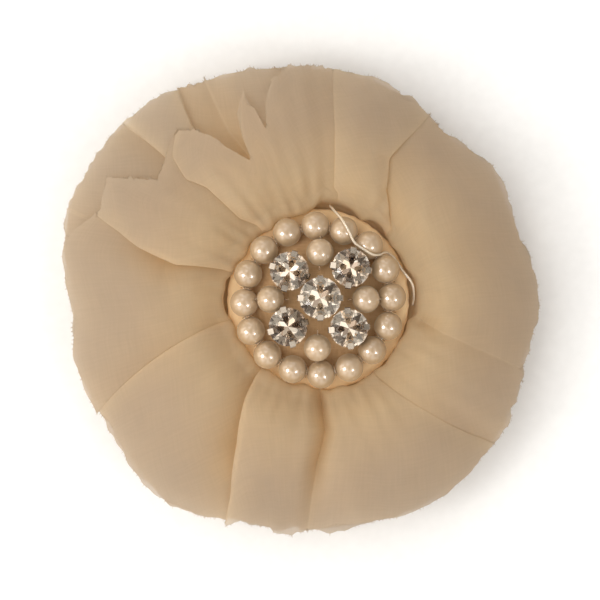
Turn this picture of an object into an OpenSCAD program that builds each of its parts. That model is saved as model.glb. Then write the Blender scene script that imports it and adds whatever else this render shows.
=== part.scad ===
// Chiffon flower hair clip with a pearl and rhinestone centre.
// Millimetres. The flower faces +Z, its steel clip is underneath, and z = 0 is the surface it lies on.
// x = y = 0 is the middle of the flower's outline. The gathered centre sits a little to the right of it.

/* [Flower] */
// Mean radius of the flower's outline
flower_r = 50.9; // [46:0.1:56]
// How far the gathered centre lies to the right of the outline's middle
centre_x = 3.8; // [0:0.1:6]
// Number of chiffon circles in the stack
layer_count = 5; // [3:1:5]
// Thickness of a chiffon circle where it stands free, ruffles included
ruffle_t = 0.8; // [0.6:0.1:1]
// Thickness of one gathered circle where it is stitched flat
hub_t = 1.2; // [1:0.1:1.4]
// Depth of the radial pleats
pleat_depth = 1.6; // [0:0.1:2]

/* [Backing] */
// Radius of the felt disc on the back
felt_r = 19; // [16:0.5:20]
// Thickness of the felt disc
felt_t = 1.2; // [1:0.1:2]
// Thickness of the hot glue under the clip and under the centre pad
glue_t = 0.4; // [0.3:0.1:0.6]

/* [Centre pad] */
// Radius of the stiff domed pad that carries the beads
pad_r = 19.2; // [19:0.1:19.6]
// Thickness of the pad at its edge
pad_edge_t = 1; // [0.8:0.1:1.5]
// Height of the dome above the pad's edge
pad_dome = 3.5; // [3:0.1:4]

/* [Pearls] */
// Diameter of a pearl
pearl_d = 5.9; // [5.5:0.05:5.95]
// Radius of a pearl's thread hole
pearl_bore_r = 0.55; // [0.5:0.05:0.6]
// Number of pearls in the outer ring
ring_count = 16; // [12:1:16]
// Radius of the circle through the outer pearls
ring_r = 15.4; // [15.35:0.05:15.6]
// Turn of the outer ring about the centre, in degrees
ring_phase = 2.2; // [0:0.1:4]
// Radius of the circle through the four inner pearls
inner_r = 9.95; // [9.9:0.05:10]
// Height of the inner pearls above the outer ones
inner_lift = 2.1; // [2.1:0.05:2.3]

/* [Rhinestones] */
// Girdle radius of a corner stone
stone_r = 4.05; // [3.9:0.05:4.1]
// Girdle radius of the middle stone
middle_stone_r = 4.4; // [4.2:0.05:4.5]
// Height of a setting from its base to the stone's girdle
setting_h = 5.25; // [5:0.05:5.5]
// Extra height of the middle setting, which stands over the others
middle_lift = 1.85; // [1.8:0.05:2.2]
// Sheet thickness of a setting and its claws
setting_t = 0.3; // [0.25:0.05:0.35]

/* [Clip] */
// Length of the clip's plate
plate_l = 47; // [44:0.5:48]
// Width of the clip's plate
plate_w = 9.5; // [9:0.1:10]
// Thickness of the clip's steel sheet
steel_t = 0.7; // [0.6:0.05:0.8]
// Radius of the hinge pin
pin_r = 0.8; // [0.7:0.05:0.9]
// Radius of the spring's wire
spring_wire_r = 0.32; // [0.3:0.01:0.35]
// Full turns in the spring's coil
spring_turns = 4; // [3:1:4]

/* [Thread] */
// Diameter of the loose nylon loop over the pearls
loop_d = 0.55; // [0.5:0.05:0.6]
// Radius of the nylon that strings the pearls
string_r = 0.15; // [0.12:0.01:0.16]

/* [Hidden] */
eps = 0.02;
curve_fn = 64;

// Heights, from the table up. The tail of the jaw rests at z = 0.
plate_z = 9.6;                            // underside of the clip's plate
glue_z = plate_z + steel_t;
felt_z = glue_z + glue_t;
stack_z = felt_z + felt_t;                // underside of the lowest chiffon circle
pad_z = stack_z + layer_count * hub_t + glue_t;
dome_r = (pad_r * pad_r + pad_dome * pad_dome) / (2 * pad_dome);
dome_z = pad_z + pad_edge_t + pad_dome - dome_r;   // centre of the dome's sphere
ring_z = dome_z + sqrt(pow(dome_r + pearl_d / 2 + eps, 2) - ring_r * ring_r);
inner_z = ring_z + inner_lift;

// Chiffon circles, from the back to the front.
crest_rise = [0, 3.1, 4.7, 6.3, 7.9];     // how far each stands up around the pad
edge_z = [0, 3.4, 6.9, 10.4, 13.8];       // lowest height of its edge
edge_share = [1, 0.99, 0.985, 0.98, 0.97];
edge_pleat = 0.65;                        // share of the pleats' depth left at the edge
hub_r = 20.2;                             // the circles are flat inside this radius
crest_r = 27.5;
thread_hole_r = 2;
ring_steps = 60;                          // corners round a circle of chiffon
string_ring_r = ring_r + 0.22;            // the string cuts the corner inside each pearl's hole
// Directions of the pleats' valleys, in degrees
valleys = [-90, -127, -158, 163, 133, 110, 85, 53, 20, -10, -45];
pleat_width = 7;                          // half-width of a valley, in degrees

// Radial stations of a chiffon circle: fixed radii in the hub, then shares of the free width.
hub_stations = [thread_hole_r, 11, hub_r];
free_shares = [0.12, 0.26, 0.42, 0.6, 0.8, 1];

// Corner stones: name, x and y from the centre, and turn of the claws.
corner_stones = [
    ["upper_left", -6.0, 6.0, -16],
    ["upper_right", 6.75, 6.7, -8],
    ["lower_left", -6.3, -5.6, 15],
    ["lower_right", 6.4, -5.9, 5]
];
middle_stone = [0.4, 0.4, 0];
middle_base_z = dome_z + dome_r + eps;    // top of the dome
foot_r = 2.4;                             // foot of every setting
// Directions of the inner pearls
inner_pearls = [["top", 88], ["right", 1], ["bottom", 269], ["left", 179]];

// Brilliant cut, as shares of the girdle's radius
table_share = 0.56;
crown_h_share = 0.34;
pavilion_share = 0.8;
girdle_half = 0.1;

// Clip, along x from the middle of its plate
hinge_x = -6;
hinge_z = 7.4;
ear_r = 2;                                // rounded end of each ear, about the pin
jaw_half_w = 3.65;                        // outside of the jaw's ears, inside the plate's
tail_half_w = 4.6;
tail_x = -23;
jaw_z = 4.4;                              // middle of the jaw's flat stretch under the hair
bend_x = -7.5;                            // where the tail turns down
jaw_path = [
    [tail_x, steel_t / 2 + 0.5], [-21.5, steel_t / 2], [bend_x, jaw_z],
    [9, jaw_z], [14, 5.8], [19, 8.2], [22.8, plate_z - steel_t / 2 - 0.1]
];
tooth_pitch = 1.5;
tooth_count = 6;
tooth_x = 12;

// Torsion spring: one leg along the plate, a coil round the pin, one leg along the jaw's tail
coil_r = 1.75;                            // middle of the spring's wire
coil_half_w = 1.5;
coil_steps = 13;                          // rings of the wire in one turn
leg_l = 11;
plate_leg_angle = 179.6;                  // direction of the leg that presses on the plate
jaw_leg_angle = 195.3;                    // direction of the leg that presses on the tail

// Route of the loose nylon loop, from under the petals across two pearls, down between two more,
// under the ring and out again round the pad's right side.
loop_points = [
    [2.4, 19.9, 18.9], [2.5, 19.8, 20.2], [2.8, 19.4, 21.5], [3.2, 18.9, 22.8],
    [3.7, 18.3, 24.1], [4.3, 17.6, 25.4], [4.9, 16.8, 26.4], [5.5, 15.8, 27.0], [6.1, 14.8, 27.1],
    [6.6, 13.8, 27.0], [7.1, 12.7, 26.6], [7.7, 11.8, 26.5], [8.6, 11.1, 26.6], [9.7, 10.4, 26.8],
    [10.7, 9.8, 26.8], [11.6, 9.4, 26.4], [12.4, 9.4, 25.6], [13.0, 9.5, 24.9],
    [13.6, 9.8, 24.0], [14.3, 9.9, 23.1], [15.0, 9.6, 22.2], [15.8, 9.0, 21.5], [16.5, 8.1, 21.2],
    [17.2, 7.0, 21.2], [18.0, 5.8, 21.4], [19.0, 4.6, 21.6], [19.8, 3.1, 21.6], [20.1, 1.6, 21.0],
    [20.1, 0.1, 20.0], [19.9, -1.0, 18.9]
];

// ---------- helpers ----------

function unit(v) = v / norm(v);
function smooth(t) = let (c = min(max(t, 0), 1)) c * c * (3 - 2 * c);
function turn_between(a, b) = let (d = abs(a - b) % 360) min(d, 360 - d);

// Outline of the flower about its middle, in direction a
function outline_r(a) =
    flower_r + 0.6 * cos(a - 170) + 1.5 * cos(2 * (a - 139)) + 0.5 * cos(3 * (a - 10))
    + 0.6 * cos(4 * (a - 52)) + 0.4 * cos(9 * (a - 38));

// Distance from the gathered centre to the outline, in direction a
function edge_r(a) = sqrt(pow(outline_r(a), 2) - pow(centre_x * sin(a), 2)) - centre_x * cos(a);

// Points of a strip of thickness t along a path, for polygon()
function path_normal(path, i) =
    let (d = unit(path[min(i + 1, len(path) - 1)] - path[max(i - 1, 0)])) [-d[1], d[0]];
function strip(path, t) = concat(
    [for (i = [0:len(path) - 1]) path[i] + path_normal(path, i) * t / 2],
    [for (i = [len(path) - 1:-1:0]) path[i] - path_normal(path, i) * t / 2]
);

// Round tube of radius r swept along points. side is a direction the route never runs along.
module tube(points, r, side, sides = 8) {
    n = len(points);
    rings = [for (i = [0:n - 1])
        let (t = unit(points[min(i + 1, n - 1)] - points[max(i - 1, 0)]),
             u = unit(cross(t, side)),
             v = cross(t, u))
        for (j = [0:sides - 1])
            points[i] + r * (cos(360 * j / sides) * u + sin(360 * j / sides) * v)];
    walls = [for (i = [0:n - 2], j = [0:sides - 1])
        let (k = (j + 1) % sides)
        [i * sides + j, (i + 1) * sides + j, (i + 1) * sides + k, i * sides + k]];
    caps = [[for (j = [0:sides - 1]) j], [for (j = [sides - 1:-1:0]) (n - 1) * sides + j]];
    polyhedron(rings, concat(walls, caps));
}

module round_slab(l, w, t, r) {
    translate([-l / 2 + r, -w / 2, 0]) cube([l - 2 * r, w, t]);
    translate([-l / 2, -w / 2 + r, 0]) cube([l, w - 2 * r, t]);
    for (x = [-1, 1], y = [-1, 1])
        translate([x * (l / 2 - r), y * (w / 2 - r), 0]) cylinder(h = t, r = r, $fn = curve_fn);
}

// ---------- chiffon ----------

// Depth of the pleats at share f of the free width: none at the hub, full at the crest, less at the edge
function pleat_at(a, f) =
    let (nearest = min([for (v = valleys) turn_between(a, v)]))
    pleat_depth * smooth(f * 5) * (1 - (1 - edge_pleat) * f) * exp(-pow(nearest / pleat_width, 2));

// Top of layer k at share f of its free width in direction a
function layer_top(k, a, f) =
    let (edge = edge_r(a) * edge_share[k],
         r = hub_r + f * (edge - hub_r),
         hub_top = stack_z + (k + 1) * hub_t,
         up = crest_rise[k] * smooth((r - hub_r) / (crest_r - hub_r)),
         edge_drop = hub_top + crest_rise[k] - ruffle_t - pleat_depth * edge_pleat - edge_z[k],
         down = edge_drop * pow(max(r - crest_r, 0) / (edge - crest_r), 1.7))
    hub_top + up - down - pleat_at(a, f);

function layer_ring(k, r_of, z_of) =
    [for (j = [0:ring_steps - 1]) let (a = 360 * j / ring_steps) [r_of * cos(a), r_of * sin(a), z_of]];

function free_ring(k, f, drop) =
    [for (j = [0:ring_steps - 1])
        let (a = 360 * j / ring_steps, r = hub_r + f * (edge_r(a) * edge_share[k] - hub_r))
        [r * cos(a), r * sin(a), layer_top(k, a, f) - drop]];

module chiffon_layer(k) {
    top_z = stack_z + (k + 1) * hub_t;
    rings = concat(
        [for (r = hub_stations) layer_ring(k, r, top_z)],
        [for (f = free_shares) free_ring(k, f, 0)],
        [for (i = [len(free_shares) - 1:-1:0]) free_ring(k, free_shares[i], ruffle_t)],
        [for (i = [len(hub_stations) - 1:-1:0]) layer_ring(k, hub_stations[i], top_z - hub_t)]
    );
    n = len(rings);
    m = ring_steps;
    faces = [for (i = [0:n - 1], j = [0:m - 1])
        let (p = i * m, q = ((i + 1) % n) * m, k2 = (j + 1) % m)
        each [[p + j, p + k2, q + k2], [p + j, q + k2, q + j]]];
    color("antiquewhite") translate([centre_x, 0, 0])
        polyhedron([for (ring = rings) each ring], faces);
}

module gather_thread() {
    color("ivory") translate([centre_x, 0, stack_z])
        cylinder(h = layer_count * hub_t, r = thread_hole_r - 0.1, $fn = curve_fn);
}

// ---------- backing ----------

module felt_backing() {
    color("wheat") translate([centre_x, 0, felt_z]) cylinder(h = felt_t, r = felt_r, $fn = curve_fn);
}

module clip_glue() {
    color("lightyellow") translate([centre_x, 0, glue_z]) round_slab(34, plate_w - 1.6, glue_t, 2.5);
}

module centre_glue() {
    color("lightyellow") translate([centre_x, 0, pad_z - glue_t]) cylinder(h = glue_t, r = 15, $fn = curve_fn);
}

// ---------- centre ----------

module centre_pad() {
    color("linen") translate([centre_x, 0, 0]) intersection() {
        translate([0, 0, dome_z]) sphere(r = dome_r, $fn = 96);
        translate([0, 0, pad_z]) cylinder(h = 2 * pad_dome + pad_edge_t, r = pad_r, $fn = 96);
    }
}

// Pearl with its thread hole along the direction lay, in degrees from x
module pearl(lay) {
    color("oldlace") rotate([0, 0, lay]) rotate([0, 90, 0]) difference() {
        sphere(r = pearl_d / 2, $fn = curve_fn);
        cylinder(h = pearl_d + 1, r = pearl_bore_r, center = true, $fn = 32);
    }
}

function pearl_angle(i) = ring_phase + 90 - (i - 1) * 360 / ring_count;

module outer_pearl(i) {
    a = pearl_angle(i);
    r = ring_r + 0.1 * (1 + sin(137 * i));
    translate([centre_x + r * cos(a), r * sin(a), ring_z]) pearl(a + 90);
}

module inner_pearl(a) {
    translate([centre_x + inner_r * cos(a), inner_r * sin(a), inner_z]) pearl(a);
}

module ring_thread() {
    color("whitesmoke") translate([centre_x, 0, ring_z])
        rotate_extrude($fn = 128) translate([string_ring_r, 0]) circle(r = string_r, $fn = 16);
}

// The nylon that holds each inner pearl, running in towards the settings
module spoke_threads() {
    color("whitesmoke") for (p = inner_pearls)
        translate([centre_x, 0, inner_z]) rotate([0, 0, p[1]]) rotate([0, 90, 0])
            translate([0, 0, inner_r - pearl_d / 2 - 0.8])
                cylinder(h = pearl_d + 1.1, r = string_r, $fn = 16);
}

module loose_thread() {
    color("ghostwhite") translate([centre_x, 0, 0]) tube(loop_points, loop_d / 2, [0.3, 0.5, -0.3]);
}

// ---------- rhinestones ----------

function on_circle(r, a, z) = [r * cos(a), r * sin(a), z];

// A round brilliant with its girdle at z = 0: eight kites and stars, sixteen girdle facets, a pointed back
module stone(r) {
    table_r = table_share * r;
    crown_z = girdle_half + crown_h_share * r;
    culet_z = -girdle_half - pavilion_share * r;
    mid_r = 0.8 * r;
    low_r = 0.42 * r;
    mid_z = crown_z - (mid_r * cos(22.5) - table_r) * (crown_z - girdle_half) / (r - table_r);
    low_z = culet_z + low_r * cos(22.5) * (-girdle_half - culet_z) / r;
    points = concat(
        [for (i = [0:7]) on_circle(table_r, 45 * i, crown_z)],
        [for (i = [0:7]) on_circle(mid_r, 45 * i + 22.5, mid_z)],
        [for (j = [0:15]) on_circle(r, 22.5 * j, girdle_half)],
        [for (j = [0:15]) on_circle(r, 22.5 * j, -girdle_half)],
        [for (i = [0:7]) on_circle(low_r, 45 * i + 22.5, low_z)],
        [[0, 0, culet_z]]
    );
    mid = 8;
    upper = 16;
    lower = 32;
    low = 48;
    culet = 56;
    faces = concat(
        [[for (i = [7:-1:0]) i]],
        [for (i = [0:7]) [i, (i + 1) % 8, mid + i]],
        [for (i = [0:7]) [i, mid + i, upper + 2 * i, mid + (i + 7) % 8]],
        [for (i = [0:7]) each [
            [mid + i, upper + 2 * i + 1, upper + 2 * i],
            [mid + i, upper + (2 * i + 2) % 16, upper + 2 * i + 1]]],
        [for (j = [0:15]) [upper + j, upper + (j + 1) % 16, lower + (j + 1) % 16, lower + j]],
        [for (i = [0:7]) each [
            [low + i, lower + 2 * i, lower + 2 * i + 1],
            [low + i, lower + 2 * i + 1, lower + (2 * i + 2) % 16]]],
        [for (i = [0:7]) [culet, low + (i + 7) % 8, lower + 2 * i, low + i]]
    );
    color("white") polyhedron(points, faces);
}

// Claw setting with its base at z = 0: a foot, a flared cup that ends below the stone's girdle, and four claws
// folded over the stone. lift lengthens its foot.
module setting(r, lift) {
    girdle_z = setting_h + lift;
    cup_r = r - 0.45;
    cup_z = girdle_z - 1.3;
    knee_z = 1.2 + lift;
    color("silver") {
        difference() {
            rotate_extrude($fn = 72) polygon([
                [0, 0], [foot_r, 0], [foot_r + 0.1, knee_z], [cup_r, cup_z], [cup_r - setting_t, cup_z],
                [foot_r + 0.1 - setting_t, knee_z + 0.1], [1.2, knee_z - 0.3], [0, knee_z - 0.3]
            ]);
            for (a = [45, 135]) rotate([0, 0, a]) translate([0, 0, knee_z + 1.45]) rotate([90, 0, 0])
                cylinder(h = 3 * r, r = 0.95, center = true, $fn = 48);
            for (a = [0, 90]) rotate([0, 0, a]) translate([0, 0, 0.55]) rotate([90, 0, 0])
                cylinder(h = 3 * foot_r, r = 0.32, center = true, $fn = 24);
        }
        for (a = [0:90:270]) rotate([0, 0, a]) claw(r, girdle_z);
    }
}

// One claw in the xz plane: out from the cup's rim, up past the girdle, then in over the crown
module claw(r, girdle_z) {
    crown_slope = crown_h_share / (1 - table_share);
    tip_in = 1.05;
    translate([0, 0.6, girdle_z]) rotate([90, 0, 0]) linear_extrude(height = 1.2) polygon([
        [r - 0.72, -1.65], [r - 0.05, -0.8], [r + 0.05, -0.15], [r + 0.05, girdle_half + 0.06],
        [r - tip_in, girdle_half + 0.06 + tip_in * crown_slope],
        [r - tip_in + 0.12, girdle_half + 0.36 + tip_in * crown_slope],
        [r + 0.2, girdle_half + 0.42], [r + 0.38, girdle_half + 0.1],
        [r + 0.38, -0.15], [r + 0.25, -0.8], [r - 0.5, -1.65]
    ]);
}

// A setting stands upright on the dome, so the inner side of its foot is the side that touches
function stone_base_z(s) =
    let (reach = norm([s[1], s[2]]) - foot_r)
    dome_z + sqrt(dome_r * dome_r - reach * reach) + eps;

module corner_setting(s) {
    translate([centre_x + s[1], s[2], stone_base_z(s)]) rotate([0, 0, s[3]]) setting(stone_r, 0);
}

module corner_stone(s) {
    translate([centre_x + s[1], s[2], stone_base_z(s) + setting_h]) rotate([0, 0, s[3]]) stone(stone_r);
}

module middle_setting_piece() {
    translate([centre_x + middle_stone[0], middle_stone[1], middle_base_z])
        rotate([0, 0, middle_stone[2]]) setting(middle_stone_r, middle_lift);
}

module middle_stone_piece() {
    translate([centre_x + middle_stone[0], middle_stone[1], middle_base_z + setting_h + middle_lift])
        rotate([0, 0, middle_stone[2]]) stone(middle_stone_r);
}

// ---------- clip ----------

module along_hinge(x, z) {
    translate([centre_x + x, 0, z]) rotate([90, 0, 0]) children();
}

// Ear in the xz plane: round about the pin, spreading to the strip at height root_z
module ear_profile(root_z, x0, x1) {
    translate([hinge_x, hinge_z]) circle(r = ear_r, $fn = curve_fn);
    polygon([[x0, root_z], [x1, root_z], [hinge_x + ear_r, hinge_z], [hinge_x - ear_r, hinge_z]]);
}

// Two matching ears with their outer faces at +-half_w, drilled for the pin
module ears(half_w, t, hole_r) {
    difference() {
        for (side = [-1, 1]) translate([0, side * (half_w - t / 2), 0])
            along_hinge(0, 0) linear_extrude(height = t, center = true) children();
        along_hinge(hinge_x, hinge_z) cylinder(h = 4 * half_w, r = hole_r, center = true, $fn = 48);
    }
}

module clip_plate() {
    color("silver") {
        translate([centre_x, 0, plate_z]) round_slab(plate_l, plate_w, steel_t, 2.2);
        ears(plate_w / 2, steel_t + 0.1, pin_r) ear_profile(plate_z + 0.1, hinge_x - 3.5, hinge_x + 3.5);
    }
}

// Saw-toothed rail along one edge of the jaw, rising from the strip to just under the plate
module toothed_rail() {
    top_z = plate_z - 0.1;
    last_x = tooth_x + tooth_count * tooth_pitch;
    polygon(concat(
        [[9, jaw_z], [9, jaw_z + 0.5], [tooth_x, top_z - 0.7]],
        [for (i = [0:tooth_count - 1]) each [
            [tooth_x + (i + 0.6) * tooth_pitch, top_z], [tooth_x + (i + 1) * tooth_pitch, top_z - 0.7]]],
        [[last_x, 8.6], [19, 8.2], [14, 5.8]]
    ));
}

module jaw_strip(x0, x1, half_w) {
    intersection() {
        along_hinge(0, 0) linear_extrude(height = 2 * half_w, center = true) polygon(strip(jaw_path, steel_t));
        translate([centre_x + x0, -half_w, -1]) cube([x1 - x0, 2 * half_w, 20]);
    }
}

module clip_jaw() {
    color("silver") {
        jaw_strip(tail_x - 1, -11, tail_half_w);
        jaw_strip(-11.1, 30, jaw_half_w);
        for (side = [-1, 1]) translate([0, side * (jaw_half_w - steel_t / 2), 0])
            along_hinge(0, 0) linear_extrude(height = steel_t, center = true) toothed_rail();
        ears(jaw_half_w, steel_t, pin_r + 0.05) ear_profile(jaw_z, bend_x, hinge_x + 2.5);
    }
}

module hinge_pin() {
    head_y = plate_w / 2 + 0.35;
    color("gray") along_hinge(hinge_x, hinge_z) {
        cylinder(h = 2 * head_y, r = pin_r, center = true, $fn = 48);
        for (side = [-1, 1]) translate([0, 0, side * (plate_w / 2 + 0.25)])
            cylinder(h = 0.5, r = 1.35, center = true, $fn = 48);
    }
}

function coil_point(a, y) = [hinge_x + coil_r * cos(a), y, hinge_z + coil_r * sin(a)];
function coil_route() =
    let (start = plate_leg_angle - 90,
         finish = jaw_leg_angle + 90 - 360 * (spring_turns + 1),
         steps = coil_steps * spring_turns)
    [for (i = [0:steps]) let (s = i / steps)
        coil_point(start + s * (finish - start), coil_half_w * (1 - 2 * s))];
function spring_route() =
    let (coil = coil_route(),
         first = coil[0],
         last = coil[len(coil) - 1])
    concat(
        [for (d = [leg_l, leg_l / 2, 1]) first + d * [cos(plate_leg_angle), 0, sin(plate_leg_angle)]],
        coil,
        [for (d = [1, leg_l / 2, leg_l]) last + d * [cos(jaw_leg_angle), 0, sin(jaw_leg_angle)]]
    );

module torsion_spring() {
    color("dimgray") translate([centre_x, 0, 0]) tube(spring_route(), spring_wire_r, [0, 1, 0]);
}

// ---------- nodes ----------

clip_plate();
clip_jaw();
hinge_pin();
torsion_spring();
clip_glue();
felt_backing();
gather_thread();
for (k = [1:layer_count])
    chiffon_layer(k - 1);
centre_glue();
centre_pad();
ring_thread();
spoke_threads();
loose_thread();
for (i = [1:ring_count])
    outer_pearl(i);
for (p = inner_pearls)
    inner_pearl(p[1]);
middle_stone_piece();  // middle_stone
middle_setting_piece();  // middle_setting
for (s = corner_stones) {
    corner_stone(s);
    corner_setting(s);
}
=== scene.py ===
import math

import bpy
import numpy as np
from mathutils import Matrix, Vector


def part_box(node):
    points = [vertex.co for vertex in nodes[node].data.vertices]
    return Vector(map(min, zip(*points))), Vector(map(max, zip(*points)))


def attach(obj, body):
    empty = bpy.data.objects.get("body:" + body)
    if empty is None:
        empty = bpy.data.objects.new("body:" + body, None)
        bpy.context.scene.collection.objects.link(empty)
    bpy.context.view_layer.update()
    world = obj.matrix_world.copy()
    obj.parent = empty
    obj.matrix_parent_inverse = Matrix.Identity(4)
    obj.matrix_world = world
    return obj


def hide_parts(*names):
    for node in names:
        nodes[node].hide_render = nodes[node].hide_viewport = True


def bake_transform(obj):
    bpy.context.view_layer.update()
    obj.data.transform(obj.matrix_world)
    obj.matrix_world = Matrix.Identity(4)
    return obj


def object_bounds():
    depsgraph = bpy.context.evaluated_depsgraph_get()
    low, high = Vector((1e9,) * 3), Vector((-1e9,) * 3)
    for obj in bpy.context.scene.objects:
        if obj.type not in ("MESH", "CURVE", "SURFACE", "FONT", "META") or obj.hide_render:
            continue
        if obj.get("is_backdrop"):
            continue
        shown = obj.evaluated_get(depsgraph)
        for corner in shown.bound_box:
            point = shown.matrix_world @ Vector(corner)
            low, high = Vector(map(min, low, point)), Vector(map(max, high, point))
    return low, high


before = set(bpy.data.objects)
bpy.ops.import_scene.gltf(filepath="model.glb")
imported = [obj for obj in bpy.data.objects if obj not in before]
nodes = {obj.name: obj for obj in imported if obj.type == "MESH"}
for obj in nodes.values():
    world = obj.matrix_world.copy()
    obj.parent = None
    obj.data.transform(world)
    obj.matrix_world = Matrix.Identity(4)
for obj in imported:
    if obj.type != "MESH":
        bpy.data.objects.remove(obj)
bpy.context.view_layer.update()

MM = 0.001


def box_mm(node):
    """Lowest and highest corner of a CAD node, in millimetres."""
    low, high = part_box(node)
    return np.array(low) / MM, np.array(high) / MM


pad_low, pad_high = box_mm("centre_pad")
CENTRE = (pad_low + pad_high) / 2  # the gathered centre, x and y
CENTRE[2] = 0.0
PAD_Z = pad_low[2]
PAD_R = (pad_high[0] - pad_low[0]) / 2
PAD_TOP = pad_high[2]
LAYERS = 5
stack_low, stack_high = box_mm("gather_thread")
HUB_T = (stack_high[2] - stack_low[2]) / LAYERS
random = np.random.default_rng(7)


# ---------------- meshes and materials

def new_object(name, verts_mm, faces, smooth=True, material=None):
    """A mesh object from vertices in millimetres."""
    mesh = bpy.data.meshes.new(name)
    mesh.from_pydata([tuple(v) for v in np.asarray(verts_mm, float) * MM], [], faces)
    mesh.validate()
    mesh.update()
    if smooth:
        mesh.polygons.foreach_set("use_smooth", [True] * len(mesh.polygons))
    obj = bpy.data.objects.new(name, mesh)
    bpy.context.scene.collection.objects.link(obj)
    if material is not None:
        mesh.materials.append(material)
    return obj


def piece(name, verts_mm, faces, material, slot, stands_for=None, middle=CENTRE, smooth=True):
    """A piece that rides on the flower's body, from vertices in millimetres from middle."""
    obj = new_object(name, np.asarray(verts_mm, float) + middle, faces, smooth, material)
    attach(obj, "flower")
    if stands_for:
        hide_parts(stands_for)
    return obj


def mark(obj, name, values, domain="POINT"):
    """Stores a number for every vertex or face of a piece, for its material to read."""
    obj.data.attributes.new(name, "FLOAT", domain).data.foreach_set("value", np.asarray(values, np.float32))


def grid_faces(rows, cols, closed=False):
    """Quads of a grid that closes round its columns, and from its last row to its first if closed is set."""
    faces = []
    for i in range(rows if closed else rows - 1):
        here, there = i * cols, (i + 1) % rows * cols
        faces += [(here + j, here + (j + 1) % cols, there + (j + 1) % cols, there + j) for j in range(cols)]
    return faces


def lathe(profile, rim, closed=False):
    """Vertices and faces of a profile of (radius, height) turned about z. rim holds a number for each step
    of the turn, which multiplies the radii there."""
    a = np.linspace(0, 2 * math.pi, len(rim), endpoint=False)
    rows = [np.column_stack([r * rim * np.cos(a), r * rim * np.sin(a), 0 * a + z]) for r, z in profile]
    return np.vstack(rows), grid_faces(len(profile), len(rim), closed)


def tube(path, radius, sides):
    """Vertices and faces of a round tube along a path, with flat ends. radius may vary along it."""
    path = np.asarray(path, float)
    count = len(path)
    radii = np.broadcast_to(np.asarray(radius, float), (count,))
    tangents = np.gradient(path, axis=0)
    tangents /= np.linalg.norm(tangents, axis=1)[:, None]
    normal = np.cross(tangents[0], (0.31, 0.52, 0.79))
    verts, turns = [], np.arange(sides) * 2 * math.pi / sides
    for i in range(count):
        normal = normal - tangents[i] * normal.dot(tangents[i])
        normal /= np.linalg.norm(normal)
        side = np.cross(tangents[i], normal)
        verts += [path[i] + radii[i] * (math.cos(a) * normal + math.sin(a) * side) for a in turns]
    ends = [tuple(range(sides - 1, -1, -1)), tuple((count - 1) * sides + j for j in range(sides))]
    return np.array(verts), grid_faces(count, sides) + ends


def smooth_path(points, per_span=6):
    """Catmull-Rom curve through the points."""
    p = np.asarray(points, float)
    p = np.vstack([2 * p[0] - p[1], p, 2 * p[-1] - p[-2]])
    out = []
    for i in range(1, len(p) - 2):
        for t in np.linspace(0, 1, per_span, endpoint=False):
            a = 2 * p[i]
            b = p[i + 1] - p[i - 1]
            c = 2 * p[i - 1] - 5 * p[i] + 4 * p[i + 1] - p[i + 2]
            d = -p[i - 1] + 3 * p[i] - 3 * p[i + 1] + p[i + 2]
            out.append((a + b * t + c * t * t + d * t ** 3) / 2)
    out.append(p[-2])
    return np.array(out)


def turned(points, turn, lay=False):
    """Points turned about z by turn degrees, after tipping z onto x if lay is set."""
    p = np.asarray(points, float)
    if lay:
        p = p[:, [2, 0, 1]]
    c, s = math.cos(math.radians(turn)), math.sin(math.radians(turn))
    return np.column_stack([p[:, 0] * c - p[:, 1] * s, p[:, 0] * s + p[:, 1] * c, p[:, 2]])


def join(parts):
    """One set of vertices and faces from several."""
    verts, faces, base = [], [], 0
    for v, f in parts:
        verts.append(v)
        faces += [tuple(i + base for i in face) for face in f]
        base += len(v)
    return np.vstack(verts), faces


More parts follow.
